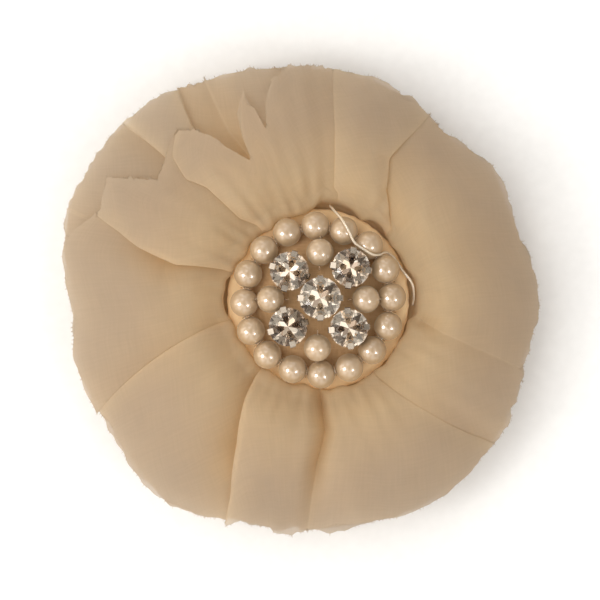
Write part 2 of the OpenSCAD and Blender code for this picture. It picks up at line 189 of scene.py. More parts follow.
class Shade:
    """A small helper that builds a node tree."""

    def __init__(self, name, world=False):
        self.material = (bpy.data.worlds if world else bpy.data.materials).new(name)
        self.material.use_nodes = True
        self.tree = self.material.node_tree
        self.tree.nodes.clear()
        self.out = self.node("ShaderNodeOutputWorld" if world else "ShaderNodeOutputMaterial")

    def node(self, kind, **values):
        """A node, with values for its inputs or its properties."""
        n = self.tree.nodes.new(kind)
        for key, value in values.items():
            if key in n.inputs:
                n.inputs[key].default_value = value
            else:
                setattr(n, key, value)
        return n

    def link(self, a, b):
        self.tree.links.new(a, b)

    def principled(self, **values):
        """The surface shader, with a number or a node's output for each input that is named."""
        n = self.node("ShaderNodeBsdfPrincipled")
        for key, value in values.items():
            socket = n.inputs[key.replace("_", " ")]
            if isinstance(value, bpy.types.NodeSocket):
                self.link(value, socket)
            else:
                socket.default_value = value
        return n

    def surface(self, **values):
        """Finishes the material with the surface shader alone."""
        return self.finish(self.principled(**values).outputs[0])

    def attribute(self, name):
        return self.node("ShaderNodeAttribute", attribute_name=name).outputs["Fac"]

    def coords(self, scale=(1, 1, 1), uv=None):
        """Object coordinates in millimetres, or a UV map's, scaled."""
        if uv:
            source = self.node("ShaderNodeUVMap", uv_map=uv).outputs[0]
        else:
            source = self.node("ShaderNodeTexCoord").outputs["Object"]
        n = self.node("ShaderNodeMapping")
        n.inputs["Scale"].default_value = scale if uv else tuple(s / MM for s in scale)
        self.link(source, n.inputs["Vector"])
        return n.outputs[0]

    def noise(self, coords, scale, detail=2.0, rough=0.5):
        n = self.node("ShaderNodeTexNoise", Scale=scale, Detail=detail, Roughness=rough)
        self.link(coords, n.inputs["Vector"])
        return n.outputs["Fac"]

    def ramp(self, value, *stops):
        n = self.node("ShaderNodeValToRGB")
        elements = n.color_ramp.elements
        while len(elements) < len(stops):
            elements.new(0.5)
        for element, (place, colour) in zip(elements, stops):
            element.position = place
            element.color = (*(colour if isinstance(colour, tuple) else (colour,) * 3), 1)
        self.link(value, n.inputs[0])
        return n.outputs[0]

    def math(self, operation, a, b=0.0):
        n = self.node("ShaderNodeMath", operation=operation)
        for i, v in enumerate((a, b)):
            if isinstance(v, (int, float)):
                n.inputs[i].default_value = v
            else:
                self.link(v, n.inputs[i])
        return n.outputs[0]

    def mix(self, factor, a, b, blend="MIX"):
        n = self.node("ShaderNodeMix", data_type="RGBA", blend_type=blend)
        for socket, v in ((n.inputs[0], factor), (n.inputs[6], a), (n.inputs[7], b)):
            if isinstance(v, (int, float)):
                socket.default_value = v
            elif isinstance(v, tuple):
                socket.default_value = (*v, 1)
            else:
                self.link(v, socket)
        return n.outputs[2]

    def times(self, a, b):
        return self.mix(1.0, a, b, "MULTIPLY")

    def bump(self, height, strength, distance):
        n = self.node("ShaderNodeBump", Strength=strength, Distance=distance)
        self.link(height, n.inputs["Height"])
        return n.outputs[0]

    def finish(self, shader):
        self.link(shader, self.out.inputs["Surface"])
        return self.material


def linear(r, g, b):
    """An sRGB colour from 0 to 255 as linear values."""
    return tuple(((c / 255 + 0.055) / 1.055) ** 2.4 if c > 10 else c / 255 / 12.92 for c in (r, g, b))


def pad_top(reach, dome_r=54.41):
    """Height of the pad's domed top."""
    return np.sqrt(dome_r ** 2 - np.minimum(reach, PAD_R) ** 2) + PAD_TOP - dome_r


# ---------------- chiffon circles

# A fold runs outwards along "path", a few (radius mm, direction in degrees) points from the gathered centre.
# "depth" is how far the cloth dips beside it and "hide" how much cloth the upper side covers, both as
# (radius, mm) points. "wide" is how far the dip spreads. "over" says which side lies on top: "low" is the
# side of smaller directions, "high" the other, and None is a plain valley. "roll" is the share of the depth
# that the upper side rolls down by at its edge: a small one leaves a crisp edge.
def fold(path, depth, wide, over=None, hide=((20, 0),), crease=False, roll=0.2):
    return {"path": path, "depth": depth, "wide": wide, "over": over, "hide": hide, "crease": crease,
            "roll": roll}


FRONT_FOLDS = [
    fold(path=[(19, -89), (27, -87), (34, -90.5), (42, -92), (52, -93)],
         depth=[(20, 4.6), (26, 5.6), (34, 5.4), (41, 2.7), (48, 0.7)], wide=[(20, 1.1), (34, 1.4), (50, 3)]),
    fold(path=[(20, -51.6), (33, -45), (45.7, -39.5), (54, -37)], over="low",
         depth=[(20, 1.5), (28, 1.0), (36, 1.0), (42, 1.7), (52, 0.8)], wide=[(20, 3), (36, 6), (50, 5)],
         hide=[(20, 1.2), (32, 0.6), (42, 1.2), (52, 0.3)], roll=0.65),
    fold(path=[(20, -10), (27, -15), (34, -17), (52, -20)],
         depth=[(20, 2.4), (25, 2.0), (30, 0.6), (52, 0.3)], wide=[(20, 1.4), (30, 3), (50, 6)]),
    fold(path=[(20, 42), (27, 57.4), (33, 62.6), (41, 59.6), (52, 57)], over="high",
         depth=[(20, 2.6), (27, 3.2), (33, 2.6), (40, 1.2), (50, 0.4)],
         wide=[(20, 2), (27, 12.5), (33, 11), (41, 2.5)],
         hide=[(20, 1.8), (27, 2), (33, 1.8), (40, 1), (52, 0.3)], crease=True, roll=0.45),
    fold(path=[(19, 79), (24, 82.8), (43, 86), (54, 87)], over="low",
         depth=[(20, 1.0), (30, 0.9), (43, 0.8), (54, 0.5)], wide=[(20, 4), (43, 8)],
         hide=[(20, 0.7), (30, 0.6), (45, 0.4)], roll=0.65),
    fold(path=[(17, 125.5), (23.6, 134.6), (33, 135.2), (37.3, 138), (43, 135.6), (47, 129)], over="low",
         depth=[(18, 1.1), (24, 1.5), (30, 1.6), (37, 1.1), (47, 0.5)], wide=[(20, 3.5), (30, 5), (45, 5)],
         hide=[(18, 1.2), (26, 2), (34, 1.4), (44, 0.4)], roll=0.35),
    fold(path=[(20.9, 162.8), (30.6, 166.8), (39.3, 164.1), (44.4, 161.4), (52, 158.6)], over="low",
         depth=[(20, 1.6), (27, 3.0), (33, 5.5), (40, 3.2), (48, 1.3)], wide=[(20, 2.5), (33, 4.5), (48, 5)],
         hide=[(20, 1.2), (30, 2.4), (40, 1.6), (52, 0.5)]),
    fold(path=[(21.3, 192.2), (35.4, 198.6), (52, 206.5)], over="high",
         depth=[(20, 1.8), (30, 1.8), (38, 2.4), (52, 1.0)], wide=[(20, 3), (38, 7), (50, 7)],
         hide=[(20, 1.2), (35, 2), (52, 0.8)], roll=0.6),
    fold(path=[(20.4, 229.6), (25.9, 232.7), (34.7, 239.9), (45.1, 245.5), (54, 248)], over="high",
         depth=[(20, 2.2), (27, 4.0), (35, 6.2), (42, 4.4), (52, 1.0)], wide=[(20, 2.5), (30, 4.5), (42, 8)],
         hide=[(20, 1.2), (30, 2), (42, 1.6), (54, 0.4)]),
]
SECOND_FOLDS = [
    fold(path=[(20, -88), (52, -93)], depth=[(20, 4), (40, 1.6), (52, 0.8)], wide=[(20, 3), (50, 5)]),
    fold(path=[(20, -48), (54, -36)], depth=[(20, 2.5), (54, 1.6)], wide=[(20, 3), (54, 5)], over="low",
         hide=[(20, 1), (46, 0.8), (53, 0.1)]),
    fold(path=[(20, -12), (54, -24)], depth=[(20, 2.5), (54, 1)], wide=[(20, 3), (54, 6)]),
    fold(path=[(20, 22), (54, 14)], depth=[(20, 2), (54, 1.4)], wide=[(20, 3), (54, 6)]),
    fold(path=[(20, 52), (54, 57)], depth=[(20, 3), (54, 1)], wide=[(20, 4), (54, 6)]),
    fold(path=[(20, 86), (54, 93)], depth=[(20, 2), (54, 1.6)], wide=[(20, 4), (54, 5)], over="low",
         hide=[(20, 1), (46, 0.8), (53, 0.1)]),
    fold(path=[(22, 112), (32, 115.5), (40, 118), (54, 117)],
         depth=[(22, 2.4), (34, 4.6), (44, 3), (54, 1.4)], wide=[(22, 3), (34, 5), (54, 8)]),
    fold(path=[(28, 127), (43, 126), (56, 123)], depth=[(28, 1), (43, 1.6), (56, 1.4)], over="high",
         wide=[(28, 3), (56, 5)], hide=[(28, 0.6), (48, 0.9), (54, 0.2)]),
    fold(path=[(28, 138), (44, 137.3), (58, 138)], depth=[(28, 1), (44, 2.4), (58, 1.6)], over="low",
         wide=[(28, 3), (56, 6)], hide=[(28, 0.6), (48, 0.9), (54, 0.2)]),
    fold(path=[(20, 164), (56, 160)], depth=[(20, 3), (35, 3), (56, 1)], wide=[(20, 4), (50, 6)]),
    fold(path=[(20, 195), (54, 207)], depth=[(20, 2.5), (54, 1.2)], wide=[(20, 4), (54, 6)]),
    fold(path=[(20, 231), (54, 243)], depth=[(20, 3), (54, 1.4)], wide=[(20, 4), (54, 6)]),
]
# The front circle's own rim, as (direction, radius mm) from the gathered centre: it is tucked under in a few
# places at the upper left, which leaves notches where the second circle shows.
FRONT_RIM = [(97, 0), (104, -5), (106.9, 36.1), (109.5, 48), (111.7, 50.2), (113.2, 44), (115.9, 31.8),
             (118.6, 34.3), (123, 41), (129, 46.7), (133.5, 45.3), (137.3, 44.3), (143.5, 42.4), (147, 47.5),
             (150, 51.4), (159.2, 50.3), (163, -3), (168, 0)]

SOFTNESS = 0.75    # share of the stated depth that the cloth really dips
FREE_R = 20.3      # the cloth leaves the stitched hub here
CREST_R = 28.0
COLUMN_MM = 0.42   # spacing of the columns at the crest
FINE_AT = (100, 160)   # directions where the front circle is cut into finer columns
FLAP_STEPS = 7     # columns of cloth that go back under a fold
HUB_HOLE = 2.6     # each circle's mesh starts here, inside the gathers
CELLS_OUT = 80     # steps of 0.8 mm outwards in the polar maps of the circles' undersides


def outline_of(node):
    """Rim of a CAD circle: directions (degrees, rising), and radii and heights from the gathered centre."""
    mesh = nodes[node].data
    points = np.array([v.co[:] for v in mesh.vertices]) / MM - CENTRE
    angle = np.degrees(np.arctan2(points[:, 1], points[:, 0])) % 360
    reach = np.hypot(points[:, 0], points[:, 1])
    sector = np.round(angle / 6).astype(int) % 60
    radii = np.array([reach[sector == s].max() for s in range(60)])
    edge = np.array([points[(sector == s) & (reach > radii[s] - 0.05), 2].mean() for s in range(60)])
    return np.arange(60) * 6.0, radii, edge


def wrapped(angle, at, values):
    """Smooth periodic interpolation of values known every few degrees."""
    span = np.asarray(at)[1] - np.asarray(at)[0]
    place = (np.asarray(angle) % 360) / span
    i = np.floor(place).astype(int)
    t = place - i
    t = t * t * (3 - 2 * t)
    n = len(values)
    return values[i % n] * (1 - t) + values[(i + 1) % n] * t


def along(points, radius):
    return np.interp(radius, [p[0] for p in points], [p[1] for p in points])


def rim_radius(angle, outline, inset, shape):
    """Radius of the rim in each direction: a wandering inset from the outline, or the stated rim points."""
    full = wrapped(angle, outline[0], outline[1]) - inset
    full += 0.7 * np.sin(np.radians(5 * angle + 40)) + 0.5 * np.sin(np.radians(11 * angle + 75 * inset))
    if not shape:
        return full
    where = np.array([p[0] for p in shape], float)
    stated = np.array([p[1] for p in shape], float)
    own = np.interp(where, angle % 360, full, period=360)
    stated = np.where(stated > 5, stated, own + stated)
    a = angle % 360
    inside = (a >= where[0]) & (a <= where[-1])
    return np.where(inside, np.interp(a, where, stated), full)


def blur(values, sigma, axis, wrap):
    """Gaussian blur of a grid along one axis."""
    half = int(math.ceil(3 * sigma))
    kernel = np.exp(-0.5 * (np.arange(-half, half + 1) / sigma) ** 2)
    kernel /= kernel.sum()
    pad = [(0, 0)] * values.ndim
    pad[axis] = (half, half)
    padded = np.pad(values, pad, mode="wrap" if wrap else "edge")
    out = np.zeros_like(values)
    for i, weight in enumerate(kernel):
        piece = [slice(None)] * values.ndim
        piece[axis] = slice(i, i + values.shape[axis])
        out += weight * padded[tuple(piece)]
    return out


def columns_of(folds, fine_at=None):
    """Panel or flap, index and share of every column of cloth, in order round the circle, as three arrays."""
    columns = []
    for i, start in enumerate(folds):
        end = folds[(i + 1) % len(folds)]
        begin = along(start["path"], CREST_R)
        turn = along(end["path"], CREST_R) - begin + (360 if i == len(folds) - 1 else 0)
        middle = begin + turn / 2
        fine = 2.2 if fine_at and fine_at[0] < middle < fine_at[1] else 1
        steps = max(12, int(round(fine * math.radians(turn) * (CREST_R + 6) / COLUMN_MM)))
        columns += [(True, i, (s + 0.5) / steps) for s in range(steps)]
        columns += [(False, (i + 1) % len(folds), (s + 1) / (FLAP_STEPS + 1)) for s in range(FLAP_STEPS)]
    return tuple(np.array(c) for c in zip(*columns))


def fold_row(folds, columns, radius):
    """Direction (degrees), height offset, dip and overlap of every column, each at its own radius."""
    panel, index, share = columns
    count, pick = len(folds), np.arange(len(index))
    arc = np.radians(1) * radius
    angle, depth, wide, hide = (np.array([along(f[key], radius) for f in folds])
                                for key in ("path", "depth", "wide", "hide"))
    depth = depth * SOFTNESS
    low_over = np.array([f["over"] == "low" for f in folds])[:, None]
    high_over = np.array([f["over"] == "high" for f in folds])[:, None]
    crease = np.array([f["crease"] for f in folds])
    roll = np.array([f["roll"] for f in folds])
    start = angle - np.where(low_over, hide / arc, 0)
    end = angle + np.where(high_over, hide / arc, 0)

    def dip(i, s, over):
        """How far the cloth dips, s mm away from fold i, on the side that lies on top if over is set."""
        d, w = depth[i, pick], wide[i, pick]
        h = np.where((low_over | high_over)[i, 0], hide[i, pick], 0)
        soft = d * np.exp(-(np.maximum(0.0, s - 0.5 * h) / w) ** 1.6)
        soft = np.where(crease[i], d * np.maximum(0.0, 1 - s / w), soft)
        rolled = roll[i] * d * np.exp(-(s / (6 * roll[i] - 0.4)) ** 2)
        return np.where(over[i, 0], rolled, soft)

    def overlap(i, s, over):
        """1 where the cloth lies double, s mm from the edge of fold i, on the side that lies on top."""
        return np.where(over[i, 0], np.exp(-(s / (1.2 * hide[i, pick] + 1.8)) ** 2), 0)

    j = (index + 1) % count
    a, b = start[index, pick], end[j, pick] + 360 * (j == 0)
    turned = a + (b - a) * share
    down = dip(index, (turned - a) * arc, high_over) + dip(j, (b - turned) * arc, low_over)
    double = np.maximum(overlap(index, (turned - a) * arc, high_over),
                        overlap(j, (b - turned) * arc, low_over))
    puff = np.minimum(1.0, (b - a) * arc / 14) * 4 * share * (1 - share)
    # a flap goes back under its fold, from the end of one panel to the start of the next
    turn = 360 * (index == 0)
    fa, fb = end[index, pick] + turn, start[index, pick] + turn
    d = depth[index, pick]
    za = -d * np.where(low_over[index, 0], roll[index], 1)
    zb = -d * np.where(high_over[index, 0], roll[index], 1)
    angles = np.where(panel, turned, fa + (fb - fa) * share)
    heights = np.where(panel, 0.9 * puff - down, za + (zb - za) * share)
    dips = np.where(panel, down, d * np.where((low_over | high_over)[index, 0], 0.6, 1))
    return angles, heights, dips, np.where(panel, double, 0.5)


# How close the front circle's inner ends lean in over the pad's edge, as (direction, radius)
LEAN = [(-95, 18.3), (-85, 18.9), (-60, 19.1), (-14, 19.2), (-7, 20.75), (12, 20.75), (20, 19.4), (44, 19.3),
        (49, 20.3), (56, 20.2), (62, 19.0), (68, 19.8), (76, 20.8), (88, 20.8), (93, 18.8), (110, 18.2),
        (150, 18.3), (163, 18.7), (168, 19.7), (186, 19.7), (192, 19.0), (200, 18.4), (262, 18.3)]


def lean(angles, seeds):
    """Radius of the front circle's inner end over the pad's edge, and how far in it leans, from 0 to 1."""
    inner = np.interp(angles, [p[0] for p in LEAN], [p[1] for p in LEAN], period=360)
    loose = (20.75 - inner) / 1.85
    share = np.clip(loose, 0, 1)
    # the cloth fills the gaps between the outer pearls
    inner = inner - 0.55 * share ** 2 * (0.5 - 0.5 * np.cos(np.radians(16 * (angles - 2.2))))
    return inner + 0.16 * share * np.sin(np.radians(29 * angles + seeds[8])), loose


def hub_gathers(angles, seeds, twist=0.0, back=0.0):
    """Small gathers where the cloth leaves the stitched hub, up to 1.7 high."""
    return (np.sin(np.radians(37 * angles + seeds[1] + twist))
            + 0.7 * np.sin(np.radians(58 * angles + seeds[2] - back)))


def wall_row(place, inner, loose, first, level, hub_z):
    """Radius and height of a row of the front circle's inner wall, at place 0 (the hub) to 5 (its top)."""
    nil = 0 * level
    knots_r = np.array([18.9 + nil, 19.7 + nil, 20.45 - 0.4 * loose, inner + 0.1 * (1 - loose), inner + 0.9,
                        first])
    knots_z = np.array([nil, 0.25 + nil, 1.5 + nil, 0.68 * level, 0.9 * level, level])
    k, t = int(place), place - int(place)
    q = [min(max(k + n, 0), 5) for n in (-1, 0, 1, 2)]
    weights = ((-t + 2 * t * t - t ** 3) / 2, (2 - 5 * t * t + 3 * t ** 3) / 2,
               (t + 4 * t * t - 3 * t ** 3) / 2, (t ** 3 - t * t) / 2)
    return (sum(w * knots_r[n] for w, n in zip(weights, q)),
            hub_z + sum(w * knots_z[n] for w, n in zip(weights, q)))


def wrinkles(reach, angles, seeds):
    """Small gathers at the hub that run out, long soft ripples that grow to the rim, and fine crumples."""
    near = np.exp(-((reach - FREE_R - 1.5) / 5.5) ** 2)
    far = np.clip((reach - 30) / 22, 0, 1)
    gathers = hub_gathers(angles, seeds, 2.2 * reach, 3 * reach) * 0.16 * near
    ripples = (np.sin(np.radians(7 * angles + seeds[3] + 3 * reach))
               + 0.7 * np.sin(np.radians(12 * angles + seeds[4] - 2 * reach))
               + 0.4 * np.sin(np.radians(23 * angles + seeds[5] + 4 * reach))) * 0.5 * far
    crumples = (np.sin(np.radians(31 * angles + seeds[6]) + reach / 5.1)
                * np.sin(np.radians(17 * angles + seeds[7]) - reach / 3.3)) * 0.12
    return gathers + ripples + crumples


def chiffon_circle(index, folds, inset, rings, shape=None, below=None, lift=None):
    """One gathered circle: a grid of points, how deep they lie in a fold and where the cloth lies double."""
    outline = outline_of(f"chiffon_layer_{index}")
    back_outline = outline_of("chiffon_layer_1")
    front = index == LAYERS
    columns = columns_of(folds, FINE_AT if front else None)
    width = len(columns[0])
    hub_z = stack_low[2] + (index - 0.5) * HUB_T
    crest_z = box_mm(f"chiffon_layer_{index}")[1][2] - 0.3
    seeds = random.uniform(0, 360, 12)
    ragged = random.normal(0, 1, width)
    ragged = 0.45 * blur(ragged, 1.2, 0, True) + 0.8 * blur(ragged, 4.0, 0, True)
    rows = [("hub", r) for r in np.linspace(HUB_HOLE, 18.8, 8)]
    if front:
        rows += [("wall", t) for t in np.linspace(0, 1, 16, endpoint=False)]
    rows += [("free", t) for t in np.linspace(0, 1, rings) ** 0.95]

    def base(reach, angles):
        """Height of the circle without its folds."""
        if front:
            rise = np.clip((reach - 21) / (CREST_R - 21), 0, 1)
            rise = 0.66 + 0.34 * np.sin(0.5 * math.pi * rise)
        else:
            rise = np.clip((reach - FREE_R + 0.5) / 7, 0, 1)
            rise = rise * rise * (3 - 2 * rise)
        full = wrapped(angles, outline[0], outline[1])
        edge_z = wrapped(angles, outline[0], outline[2])
        fall = np.clip((reach - CREST_R) / (full - CREST_R), 0, 1.1) ** 1.7
        return hub_z + (crest_z - hub_z) * rise - (crest_z - edge_z - 0.8) * fall

    grid, depth, double = [], [], []
    angles = np.linspace(-89, 271, width)
    for kind, value in rows:
        reach = np.full(width, float(value))
        # a free row's radius depends on its directions and the other way round, so the two are found in turns
        for _ in range(8 if kind == "free" else 1):
            rim = blur(rim_radius(angles, back_outline, inset, shape), 1.5, 0, True) + ragged
            inner, loose = lean(angles, seeds)
            first = inner + 2.6 if front else np.full(width, FREE_R - 0.5)
            if kind == "free":
                wanted = first + value * (rim - first)
                reach = wanted if reach[0] == value else 0.5 * (reach + wanted)
            at_radius = np.maximum(reach, 18.0) if kind == "free" else np.full(width, 20.0)
            angles, heights, dips, laps = fold_row(folds, columns, at_radius)
        if kind == "hub":
            z = hub_z + np.sin(np.radians(46 * angles + seeds[0])) * 0.1 * min(1, value / 14)
            fade = 0.0
        elif kind == "wall":
            fade = min(1.0, value / 0.9) ** 1.5
            reach, z = wall_row(value * 5, inner, loose, first, base(first, angles) - hub_z, hub_z)
            gathers = hub_gathers(angles, seeds)
            z = z + fade * heights * 0.8 + 0.16 * fade * gathers
            reach = reach + 0.07 * fade * gathers
        else:
            fade = 1.0
            start = np.clip((reach - FREE_R + 2) / 4, 0, 1)
            away = np.clip(value * 12, 0, 1) if front else 1
            z = base(reach, angles) + heights * (0.8 + 0.2 * start if front else start)
            z = z + wrinkles(reach, angles, seeds) * away + 0.16 * (1 - away) * hub_gathers(angles, seeds)
            if lift:
                where, spread, from_r, up = lift
                turn = (angles - where + 180) % 360 - 180
                z = z + up * np.exp(-(turn / spread) ** 4) * np.clip((reach - from_r) / 6, 0, 1)
        if front and kind != "hub" and (kind == "free" or value > 0.5):
            z = np.where(reach < PAD_R + 0.4, np.maximum(z, pad_top(reach) + 0.4), z)
        a = np.radians(angles)
        grid.append(np.column_stack([reach * np.cos(a), reach * np.sin(a), z]))
        depth.append(dips * fade)
        double.append(laps * fade)
    grid, depth, double = np.array(grid), np.array(depth), np.array(double)
    for _ in range(2):
        grid[:-1] = blur(grid, 1.0, 1, wrap=True)[:-1]
        grid[1:-1] = blur(grid, 0.7, 0, wrap=False)[1:-1]
    depth = blur(blur(depth, 2.5, 1, wrap=True), 1.5, 0, wrap=False)
    if below is not None:
        keep_under(grid, below)
    # the lowest circle only rests on the surface that the flower lies on
    z = grid[:, :, 2]
    grid[:, :, 2] = np.where(z < 1.2, 0.25 + 0.95 * np.exp((z - 1.2) / 0.95), z)
    return grid, depth, double


def cells(grid):
    """The polar cell of each point, as a whole number of degrees and of 0.8 mm steps outwards."""
    a = np.degrees(np.arctan2(grid[:, :, 1], grid[:, :, 0])) % 360
    r = np.hypot(grid[:, :, 0], grid[:, :, 1])
    return a.astype(int) % 360, np.minimum((r / 0.8).astype(int), CELLS_OUT - 1)


def underside(grid):
    """Lowest height of a sheet in each polar cell."""
    low = np.full((360, CELLS_OUT), 99.0)
    np.minimum.at(low, cells(grid), grid[:, :, 2])
    grown = low.copy()
    for da in (-1, 0, 1):
        for dr in (-1, 0, 1):
            grown = np.minimum(grown, np.roll(np.roll(low, da, 0), dr, 1))
    return grown


def keep_under(grid, roof, gap=0.45):
    """Presses a sheet down where it would come through the one above."""
    free = np.hypot(grid[:, :, 0], grid[:, :, 1]) > FREE_R + 0.5
    for _ in range(3):
        over = np.where(free, np.maximum(0, grid[:, :, 2] - roof[cells(grid)] + gap), 0)
        spread = np.maximum(over, blur(blur(over, 2.0, 1, True), 1.5, 0, False))
        grid[:, :, 2] -= np.where(free, spread, 0)


def chiffon_material():
    """Sheer woven chiffon, with painted light and shade in its colour: a tone painted lighter and warmer
    towards the hub and greyer towards the rim, a warm glow painted into the folds, and a paler tone painted
    where the cloth lies double.
    """
    s = Shade("chiffon")
    cloth = s.coords(uv="cut")
    threads = []
    for direction in ("X", "Y"):
        wave = s.node("ShaderNodeTexWave", wave_type="BANDS", bands_direction=direction, Scale=WEAVE_SCALE,
                      Distortion=0.6, Detail=1.0)
        wave.inputs["Detail Scale"].default_value = 0.4
        s.link(cloth, wave.inputs["Vector"])
        threads.append(wave.outputs["Fac"])
    weave = s.math("MAXIMUM", threads[0], threads[1])
    slub_x = s.noise(s.coords((0.12, 2.6, 1), uv="cut"), 1.0, 3)
    slub_y = s.noise(s.coords((2.6, 0.12, 1), uv="cut"), 1.0, 3)
    slub = s.math("ADD", slub_x, slub_y)
    cloudy = s.noise(s.coords((0.09, 0.09, 1), uv="cut"), 1.0, 3)
    # painted light and shade: lighter and warmer towards the hub, where the circles lie stacked and light
    # bounces between them, greyer towards the rim
    colour = s.ramp(s.attribute("reach"), (0.0, TONE_HUB), (0.28, TONE_NEAR), (0.6, TONE_MIDDLE),
                    (1.0, TONE_RIM))
    # painted light: a warm, saturated glow in the folds, strongest where the cloth dips deepest, which lifts
    # the shade of the creases
    colour = s.mix(s.math("MULTIPLY", s.attribute("dip"), 0.8), colour, PAINTED_FOLD_GLOW)
    # painted light: a paler tone where the cloth lies double, for the light that the layer beneath sends back
    colour = s.mix(s.math("MULTIPLY", s.attribute("double"), 0.4), colour, PAINTED_DOUBLE_GLOW)
    tint = s.ramp(s.math("MULTIPLY", slub, 0.5), (0.35, 0.965), (0.65, 1.03))
    colour = s.times(colour, tint)
    patch = s.ramp(cloudy, (0.3, (0.96, 0.96, 0.97)), (0.7, (1.03, 1.025, 1.01)))
    colour = s.times(colour, patch)
    height = s.math("ADD", s.math("MULTIPLY", weave, 0.7), s.math("MULTIPLY", slub, 0.5))
    normal = s.bump(height, 0.35, 0.00006)
    body = s.principled(Base_Color=colour, Normal=normal, Roughness=0.85, Sheen_Weight=0.25,
                        Sheen_Roughness=0.5, Specular_IOR_Level=0.15)
    through = s.node("ShaderNodeBsdfTranslucent")
    s.link(s.times(colour, (1.0, 0.93, 0.82)), through.inputs["Color"])
    s.link(normal, through.inputs["Normal"])
    mixed = s.node("ShaderNodeMixShader", Fac=0.55)
    s.link(body.outputs[0], mixed.inputs[1])
    s.link(through.outputs[0], mixed.inputs[2])
    clear = s.node("ShaderNodeBsdfTransparent")
    sheer = s.node("ShaderNodeMixShader", Fac=SHEERNESS)
    s.link(mixed.outputs[0], sheer.inputs[1])
    s.link(clear.outputs[0], sheer.inputs[2])
    return s.finish(sheer.outputs[0])


# chiffon tones with painted light and shade in them: lighter and warmer at the hub, greyer at the rim
TONE_HUB = linear(240, 217, 175)
TONE_NEAR = linear(225, 206, 173)
TONE_MIDDLE = linear(216, 199, 175)
TONE_RIM = linear(209, 194, 174)
# painted light: the warm glow in the folds
PAINTED_FOLD_GLOW = linear(238, 208, 156)
# painted light: the paler tone where the cloth lies double
PAINTED_DOUBLE_GLOW = linear(236, 220, 190)
WEAVE_SCALE = 3.6    # threads about 0.28 mm apart
SHEERNESS = 0.22
CHIFFON = chiffon_material()


def out_share(points):
    """How far out points lie, from 0 at the hub to 1 past the rim."""
    return np.clip((np.hypot(points[..., 0], points[..., 1]) - 16) / 38, 0, 1)


def sheet_object(name, stands_for, grid, depth, double):
    """The sheet as a Blender mesh, with its cut's own flat coordinates as a UV map."""
    rows, cols = depth.shape
    obj = piece(name, grid.reshape(-1, 3), grid_faces(rows, cols), CHIFFON, "chiffon", stands_for)
    out = np.linalg.norm(np.diff(grid, axis=0), axis=2)
    cloth = np.vstack([np.full((1, cols), HUB_HOLE), HUB_HOLE + np.cumsum(out, axis=0)])
    cloth = np.broadcast_to(cloth.mean(axis=1)[:, None], cloth.shape)
    middle = rows // 2
    step = np.linalg.norm(np.roll(grid[middle], -1, 0) - grid[middle], axis=1)
    turn = np.concatenate([[0], np.cumsum(step)])[:-1] / step.sum() * 2 * math.pi - math.radians(89)
    u = (cloth * np.cos(turn)).ravel()
    v = (cloth * np.sin(turn)).ravel()
    layer = obj.data.uv_layers.new(name="cut")
    loops = np.zeros(len(obj.data.loops), int)
    obj.data.loops.foreach_get("vertex_index", loops)
    layer.data.foreach_set("uv", np.column_stack([u[loops], v[loops]]).ravel())
    # how far out each point lies, for the painted hub to rim tone
    mark(obj, "reach", out_share(grid).ravel())
    # fold depth, for the painted glow in the folds
    mark(obj, "dip", (np.clip(depth / 5.0, 0, 1) ** 1.2).ravel())
    # where the cloth lies double, for its painted paler tone
    mark(obj, "double", double.ravel())
    return obj, float(cloth[-1, 0])


def fray(name, grid, count):
    """Short loose threads that stand out from the cut edge."""
    rim = grid[-1]
    inward = grid[-1] - grid[-4]
    inward /= np.linalg.norm(inward, axis=1)[:, None]
    parts = []
    for _ in range(count):
        i = random.integers(len(rim))
        way = inward[i] + random.normal(0, 0.45, 3) * (1, 1, 0.6)
        way /= np.linalg.norm(way)
        length = random.uniform(0.25, 0.75)
        start = rim[i] - 0.15 * inward[i]
        bend = random.normal(0, 0.06, 3)
        path = [start, start + way * length * 0.55 + bend, start + way * length]
        parts.append(tube(path, [0.045, 0.04, 0.02], 3))
    verts, faces = join(parts)
    verts[:, 2] = np.maximum(verts[:, 2], 0.06)
    obj = piece(name, verts, faces, CHIFFON, "chiffon")
    mark(obj, "reach", out_share(verts))
    mark(obj, "dip", np.zeros(len(verts)))
    return obj


roof = None
for index in range(LAYERS, 0, -1):
    front = index == LAYERS
    grid, depth, double = chiffon_circle(
        index, FRONT_FOLDS if front else SECOND_FOLDS, inset=(0.4, 1.3, 1.8, 1.2, 0.9)[index - 1],
        rings=96 if front else 60, shape=FRONT_RIM if front else None, below=roof,
        lift=(125, 27, 27, 1.9) if index == 4 else None)
    roof = np.minimum(underside(grid), 99 if roof is None else roof)
    obj, cut_r = sheet_object(f"chiffon_circle_{index}", f"chiffon_layer_{index}", grid, depth, double)
    loose = fray(f"chiffon_fray_{index}", grid, 900 if front else 600)


# ---------------- beads and stones

def dress(node, material, slot, bevel=0.0):
    """Gives a CAD node its material, and a small bevel along its sharp edges."""
    obj = nodes[node]
    obj.data.materials.clear()
    obj.data.materials.append(material)
    if bevel:
        edge = obj.modifiers.new("edges", "BEVEL")
        edge.width = bevel * MM
        edge.segments = 2
        edge.limit_method = "ANGLE"
        edge.angle_limit = math.radians(40)
        edge.harden_normals = True


